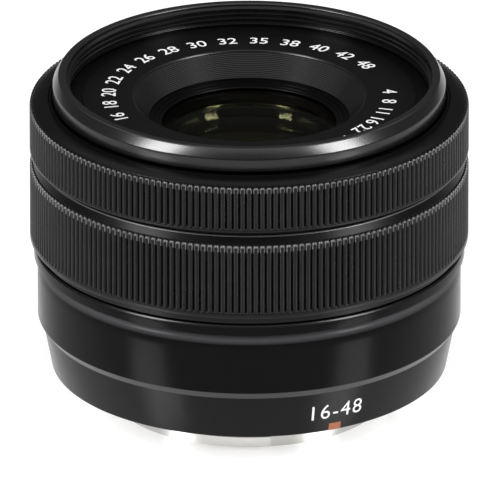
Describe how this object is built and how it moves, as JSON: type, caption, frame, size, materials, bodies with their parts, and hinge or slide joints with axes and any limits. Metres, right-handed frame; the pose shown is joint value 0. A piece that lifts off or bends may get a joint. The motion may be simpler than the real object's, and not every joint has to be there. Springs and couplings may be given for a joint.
{
  "type": "camera zoom lens",
  "caption": "Compact retracting zoom lens with ribbed focus and zoom rings, cam-driven two-stage barrel, blade iris, stabiliser and bayonet mount.",
  "frame": {"origin": "on the optical axis at the mount's flange face", "axes": "+Z along the optical axis towards the front of the lens, -Y is the side with the index mark"},
  "size_m": [0.0626, 0.0626, 0.0492],
  "materials": {
    "mount_metal": "satin plated brass",
    "screw_steel": "plated",
    "black_shell": "satin",
    "black_ring": "satin",
    "black_inner": "dead matt",
    "gold": "plated",
    "glass": "coated and polished",
    "board_green": "lacquered board",
    "steel": "ground",
    "white_gear": "moulded",
    "cam_metal": "black anodised",
    "copper": "enamelled wire",
    "blade_black": "matt",
    "felt": "felt"
  },
  "bodies": {
    "fixed_barrel": {"mount_plate": "mount_metal", "mount_screws": "screw_steel", "contact_block": "black_inner", "contact_pins": "gold", "rear_cell": "black_inner", "rear_element": "glass", "rear_inner_element": "glass", "rear_baffle": "black_inner", "rear_barrel": "black_shell", "rear_collar": "black_shell", "main_board": "board_green", "main_sleeve": "black_inner", "ring_sensors": "board_green", "zoom_return_spring": "steel", "front_bezel": "black_inner", "light_seal": "felt", "zoom_motor": "steel", "idler_pin": "steel", "guide_rods": "steel", "focus_motor": "steel"},
    "zoom_ring_body": {"zoom_ring": "black_ring", "zoom_comb": "black_inner"},
    "focus_ring_body": {"focus_ring": "black_ring", "focus_comb": "black_inner"},
    "cam_body": {"cam_barrel": "cam_metal"},
    "idler_body": {"idler_gear": "white_gear"},
    "pinion_body": {"motor_pinion": "white_gear"},
    "middle_body": {"middle_barrel": "black_shell", "middle_followers": "steel", "stabiliser_frame": "black_inner", "stabiliser_magnets": "steel", "iris_base": "black_inner", "iris_motor": "steel", "middle_cell": "black_inner", "middle_rear_element": "glass", "middle_front_element": "glass"},
    "front_body": {"front_barrel": "black_shell", "front_followers": "steel", "front_cell": "black_inner", "front_element": "glass", "second_element": "glass", "third_element": "glass", "front_baffle": "black_inner", "name_ring": "black_inner"},
    "stabiliser_guide_body": {"stabiliser_guide": "black_inner"},
    "stabiliser_carriage_body": {"stabiliser_carriage": "black_inner", "stabiliser_coils": "copper", "stabiliser_rear_element": "glass", "stabiliser_front_element": "glass"},
    "iris_ring_body": {"iris_ring": "black_inner"},
    "focus_carriage_body": {"focus_carriage": "black_inner", "focus_element": "glass"},
    "lead_screw_body": {"lead_screw": "steel"},
    "iris_blade_1_body": {"iris_blade_1": "blade_black"},
    "iris_blade_2_body": {"iris_blade_2": "blade_black"},
    "iris_blade_3_body": {"iris_blade_3": "blade_black"},
    "iris_blade_4_body": {"iris_blade_4": "blade_black"},
    "iris_blade_5_body": {"iris_blade_5": "blade_black"},
    "iris_blade_6_body": {"iris_blade_6": "blade_black"},
    "iris_blade_7_body": {"iris_blade_7": "blade_black"}
  },
  "joints": [
    {"name": "zoom_ring_turn", "type": "hinge", "parent": "fixed_barrel", "child": "zoom_ring_body", "pos_m": [0, 0, 0], "axis": [0, 0, 1], "range_deg": [-15, 15], "stiffness_Nm_per_rad": 0.05},
    {"name": "focus_ring_turn", "type": "hinge", "parent": "fixed_barrel", "child": "focus_ring_body", "pos_m": [0, 0, 0], "axis": [0, 0, 1], "continuous": true},
    {"name": "cam_turn", "type": "hinge", "parent": "fixed_barrel", "child": "cam_body", "pos_m": [0, 0, 0], "axis": [0, 0, -1], "range_deg": [0, 90]},
    {"name": "idler_turn", "type": "hinge", "parent": "fixed_barrel", "child": "idler_body", "pos_m": [-0.01954, 0.01128, 0], "axis": [0, 0, -1], "range_deg": [-1, 520]},
    {"name": "pinion_turn", "type": "hinge", "parent": "fixed_barrel", "child": "pinion_body", "pos_m": [-0.02018, 0.00359, 0], "axis": [0, 0, -1], "range_deg": [-830, 1]},
    {"name": "middle_extend", "type": "slide", "parent": "fixed_barrel", "child": "middle_body", "axis": [0, 0, 1], "range_m": [0, 0.0105]},
    {"name": "front_extend", "type": "slide", "parent": "middle_body", "child": "front_body", "axis": [0, 0, 1], "range_m": [0, 0.0105]},
    {"name": "stabiliser_x", "type": "slide", "parent": "middle_body", "child": "stabiliser_guide_body", "axis": [1, 0, 0], "range_m": [-0.0006, 0.0006], "stiffness_N_per_m": 100},
    {"name": "stabiliser_y", "type": "slide", "parent": "stabiliser_guide_body", "child": "stabiliser_carriage_body", "axis": [0, 1, 0], "range_m": [-0.0006, 0.0006], "stiffness_N_per_m": 100},
    {"name": "iris_ring_turn", "type": "hinge", "parent": "middle_body", "child": "iris_ring_body", "pos_m": [0, 0, 0], "axis": [0, 0, 1], "range_deg": [0, 20]},
    {"name": "focus_move", "type": "slide", "parent": "fixed_barrel", "child": "focus_carriage_body", "axis": [0, 0, 1], "range_m": [-0.001, 0.001]},
    {"name": "lead_screw_turn", "type": "hinge", "parent": "fixed_barrel", "child": "lead_screw_body", "pos_m": [0.00481, 0.01797, 0], "axis": [0, 0, 1], "range_deg": [-720, 720]},
    {"name": "iris_blade_1_turn", "type": "hinge", "parent": "middle_body", "child": "iris_blade_1_body", "pos_m": [0.0132, 0, 0], "axis": [0, 0, 1], "range_deg": [0, 28]},
    {"name": "iris_blade_2_turn", "type": "hinge", "parent": "middle_body", "child": "iris_blade_2_body", "pos_m": [0.00823, 0.01032, 0], "axis": [0, 0, 1], "range_deg": [0, 28]},
    {"name": "iris_blade_3_turn", "type": "hinge", "parent": "middle_body", "child": "iris_blade_3_body", "pos_m": [-0.00294, 0.01287, 0], "axis": [0, 0, 1], "range_deg": [0, 28]},
    {"name": "iris_blade_4_turn", "type": "hinge", "parent": "middle_body", "child": "iris_blade_4_body", "pos_m": [-0.01189, 0.00573, 0], "axis": [0, 0, 1], "range_deg": [0, 28]},
    {"name": "iris_blade_5_turn", "type": "hinge", "parent": "middle_body", "child": "iris_blade_5_body", "pos_m": [-0.01189, -0.00573, 0], "axis": [0, 0, 1], "range_deg": [0, 28]},
    {"name": "iris_blade_6_turn", "type": "hinge", "parent": "middle_body", "child": "iris_blade_6_body", "pos_m": [-0.00294, -0.01287, 0], "axis": [0, 0, 1], "range_deg": [0, 28]},
    {"name": "iris_blade_7_turn", "type": "hinge", "parent": "middle_body", "child": "iris_blade_7_body", "pos_m": [0.00823, -0.01032, 0], "axis": [0, 0, 1], "range_deg": [0, 28]}
  ],
  "couplings": [
    {"joint": "cam_turn", "follows": "middle_extend", "rad_per_m": 149.6},
    {"joint": "front_extend", "follows": "middle_extend", "ratio": 1},
    {"joint": "idler_turn", "follows": "middle_extend", "rad_per_m": 860.2},
    {"joint": "pinion_turn", "follows": "middle_extend", "rad_per_m": -1376.3},
    {"joint": "lead_screw_turn", "follows": "focus_move", "rad_per_m": -12566},
    {"joint": "iris_blade_1_turn", "follows": "iris_ring_turn", "ratio": 1.4},
    {"joint": "iris_blade_2_turn", "follows": "iris_ring_turn", "ratio": 1.4},
    {"joint": "iris_blade_3_turn", "follows": "iris_ring_turn", "ratio": 1.4},
    {"joint": "iris_blade_4_turn", "follows": "iris_ring_turn", "ratio": 1.4},
    {"joint": "iris_blade_5_turn", "follows": "iris_ring_turn", "ratio": 1.4},
    {"joint": "iris_blade_6_turn", "follows": "iris_ring_turn", "ratio": 1.4},
    {"joint": "iris_blade_7_turn", "follows": "iris_ring_turn", "ratio": 1.4}
  ]
}
